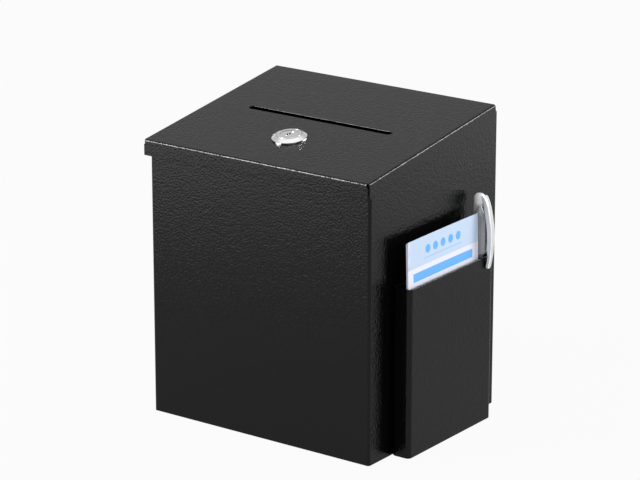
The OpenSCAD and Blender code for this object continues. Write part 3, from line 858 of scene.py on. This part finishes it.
new_piece(
    "pen_cap_clear",
    [stand(cup, cap_foot), stand(clip, cap_foot)],
    milky_plastic,
    "pen",
    "clear_plastic",
    "pen_cap",
    sharp=40,
)

# %% [markdown]
# ## The lock's chromed body
# A cam lock like this is one zinc casting: a bezel that shows, and a barrel with a thread and two flats
# that goes down through the lid. The bezel has a flat face, a fine groove round it, a cone down to the lid,
# and four lugs on the cone, whose feet just show at its rim. We turn the whole outline at once. Two changes
# to the turned grid make it a lock: the radius follows a helix along the thread, and the flats cut the
# barrel's sides off.

# %% Lock body
BEZEL_R = 12.0
BEZEL_FACE_R = 8.45
BEZEL_H = 3.2
FOOT_H = 0.8
BARREL_R = 9.0
BARREL_L = 18.0
BARREL_FLATS = 16.0
THREAD_TOP = -1.8
THREAD_PITCH = 1.0
THREAD_DEPTH = 0.4
LUG_W = 4.6
LUG_ANGLES = (0, 90, 180, 270)
STOP_IN_R = 6.6
STOP_OUT_R = 8.0
STOP_T = 1.0
STOP_SUNK = 0.3
STOP_FIRST = 14
STOP_LAST = 256

head = eased(
    [
        (PLUG_BORE_R, THREAD_TOP),
        (PLUG_BORE_R, BEZEL_H),
        (7.3, BEZEL_H - 0.05),
        (BEZEL_FACE_R, BEZEL_H - 0.16),
        (BEZEL_FACE_R + 0.12, BEZEL_H - 0.50),
        (BEZEL_FACE_R + 0.45, BEZEL_H - 0.42),
        (BEZEL_R, FOOT_H + 0.1),
        (BEZEL_R - 0.1, FOOT_H - 0.15),
        (BEZEL_R - 0.9, FOOT_H / 2),
        (BEZEL_R - 0.9, 0),
        (BARREL_R, 0),
        (BARREL_R, THREAD_TOP),
    ],
    0.16,
)
thread_z = np.arange(THREAD_TOP, 1 - BARREL_L, -THREAD_PITCH / 8)
threads = np.stack([np.full(len(thread_z), BARREL_R), thread_z], axis=-1)
foot = [
    (BARREL_R, 1 - BARREL_L),
    (BARREL_R - 0.5, -BARREL_L),
    (PLUG_BORE_R, -BARREL_L),
    (PLUG_BORE_R, THREAD_TOP),
]
outline = np.concatenate([head, threads[1:], foot])
casting = lathe(outline, steps=96)

angle = np.linspace(0, 1, casting.shape[1])
turns = (outline[:, 1, None] - THREAD_TOP) / THREAD_PITCH + angle
tooth = np.abs(2 * (turns % 1) - 1)
thread_ends = [1 - BARREL_L, 2 - BARREL_L, THREAD_TOP - 1, THREAD_TOP]
fade = np.interp(outline[:, 1], thread_ends, [0, 1, 1, 0])
fade = np.where(outline[:, 0] > BARREL_R - 0.01, fade, 0)[:, None]
casting[..., :2] *= (1 - THREAD_DEPTH / BARREL_R * tooth * fade)[..., None]
outside = np.hypot(casting[..., 0], casting[..., 1]) > PLUG_BORE_R + 0.5
below_head = (casting[..., 2] < 0.0) & outside
flat_side = np.clip(casting[..., 0], -BARREL_FLATS / 2, BARREL_FLATS / 2)
casting[..., 0] = np.where(below_head, flat_side, casting[..., 0])

lug_outline = eased(
    [
        (10.0, 0.05),
        (9.1, 1.5),
        (9.05, 2.7),
        (9.35, 2.82),
        (11.95, 1.1),
        (12.2, 0.85),
        (12.85, 0.7),
        (12.9, 0.05),
        (10.0, 0.05),
    ],
    0.22,
)
lug_turn = np.degrees(LUG_W / 2 / BEZEL_R)
stop_outline = [
    (STOP_IN_R, STOP_SUNK - BARREL_L),
    (STOP_OUT_R, STOP_SUNK - BARREL_L),
    (STOP_OUT_R, -BARREL_L - STOP_T),
    (STOP_IN_R, -BARREL_L - STOP_T),
    (STOP_IN_R, STOP_SUNK - BARREL_L),
]


def sector(outline, first, last, steps=12):
    """A closed outline on the lathe from one angle to another, each end of it drawn in to a point."""
    ring = lathe(outline, steps, first, last)
    ends = [np.broadcast_to(ring[:-1, k].mean(axis=0), ring[:, k].shape)[:, None] for k in (0, -1)]
    return np.concatenate([ends[0], ring, ends[1]], axis=1)


lugs = [sector(lug_outline, middle - lug_turn, middle + lug_turn) for middle in LUG_ANGLES]
stop_ring = sector(stop_outline, STOP_FIRST, STOP_LAST, 40)
new_piece(
    "lock_casting",
    [stand(grid, lock_place, lock_up) for grid in [casting, stop_ring] + lugs],
    lock_chrome,
    "lid",
    "lock_chrome",
    "lock_body",
    sharp=28,
)

# %% [markdown]
# Inside the keyway two small sprung leaves keep dust out. They sit just below the face and leave an opening with
# two pointed ends for the tip of the key, which is the dark point in the middle of every lock like this; the
# keyway's inside below it is darkened with painted shade.

# %% Keyway leaves
LEAF_Z = 2.35
LEAF_T = 0.25
LEAF_HALF_W = 0.75
LEAF_FROM = 1.8
LEAF_NOTCH = 2.3
LEAF_TO = 3.9
leaf_outline = [
    (-LEAF_HALF_W, LEAF_TO),
    (-LEAF_HALF_W, LEAF_FROM),
    (0, LEAF_NOTCH),
    (LEAF_HALF_W, LEAF_FROM),
    (LEAF_HALF_W, LEAF_TO),
    (-LEAF_HALF_W, LEAF_TO),
]
leaf = slab(leaf_outline, [0, 0, LEAF_T, LEAF_T], [0, 1, 1, 0])[..., [0, 2, 1]] + (0, 0, LEAF_Z)
new_piece(
    "keyway_leaves",
    [stand(turned(leaf, a), lock_place, lock_up) for a in (0, 180)],
    zinc_steel,
    "key_plug",
    "zinc_steel",
)

# %% [markdown]
# ## The cards
# Each card is thin board that has taken a slight bow from standing in the pocket. A grid gives the front,
# the same grid a hair further in gives the back, and a last row between them closes the edge. Each point
# also keeps its place for the print.

# %% Cards
# Each card lies a pitch behind the one before, fans out and leans a little, and has slipped to one side.
CARD_T = 0.28
CARD_N = 4
CARD_PITCH = 0.33
CARD_BOW = 0.35
CARD_FAN = 0.15
CARD_LEAN = radians(1.2)
CARD_SLIP = 0.35
SLIP_TURN = radians(140)
CARD_SHORTER = 0.35
SPARE_WIDTH = 0.6
SPARE_HEIGHT = 0.5
card_low, card_high = np.array(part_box("suggestion_cards"))
card_width = (card_high - card_low)[1] / MM - SPARE_WIDTH
card_height = (card_high - card_low)[2] / MM - SPARE_HEIGHT
card_foot = np.array([card_high[0], (card_low + card_high)[1] / 2, card_low[2]])


def card(k):
    """Card k and its marks. At its top, for s from -1 to 1, x = bow (s^2 - 1) - k fan - k pitch."""
    s = np.linspace(-1, 1, 25)
    up = np.linspace(0, 1, 33)[:, None]
    slip = CARD_SLIP * sin(SLIP_TURN * k)
    height = up * (card_height - CARD_SHORTER * k)
    front = (CARD_BOW * (s**2 - 1) - CARD_FAN * k) * up**2 - k * CARD_PITCH
    x = np.concatenate([front, front[:, ::-1] - CARD_T, front[:, :1]], axis=1)
    s_round = np.concatenate([s, s[::-1], s[:1]])
    y = np.broadcast_to(slip + s_round * card_width / 2, x.shape)
    z = np.broadcast_to(height, x.shape)
    lean_x, lean_z = sin(CARD_LEAN), cos(CARD_LEAN)
    grid = np.stack([x * lean_z - z * lean_x, y, z * lean_z + x * lean_x], axis=-1)
    partner = (2 * len(s) - 1 - np.arange(len(s_round))) % (2 * len(s))
    closing = (grid + grid[:, partner]) / 2
    across = np.broadcast_to((s_round + 1) * card_width / 2, x.shape)
    on_front = (np.arange(len(s_round)) < len(s)) & (k == 0)
    marks = np.stack([across * MM, (card_height - z) * MM, np.broadcast_to(on_front, x.shape)], axis=-1)
    closed_marks = np.concatenate([marks[:1], marks, marks[-1:]])
    return np.concatenate([closing[:1], grid, closing[-1:]]), closed_marks


cards = [card(k) for k in range(CARD_N)]
new_piece(
    "printed_cards",
    [stand(grid, card_foot) for grid, marks in cards],
    printed_card,
    "cards",
    "card_stock",
    "suggestion_cards",
    marks=[marks for grid, marks in cards],
)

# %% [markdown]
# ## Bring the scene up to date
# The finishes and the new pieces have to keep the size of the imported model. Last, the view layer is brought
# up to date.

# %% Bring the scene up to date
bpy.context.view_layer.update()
import json
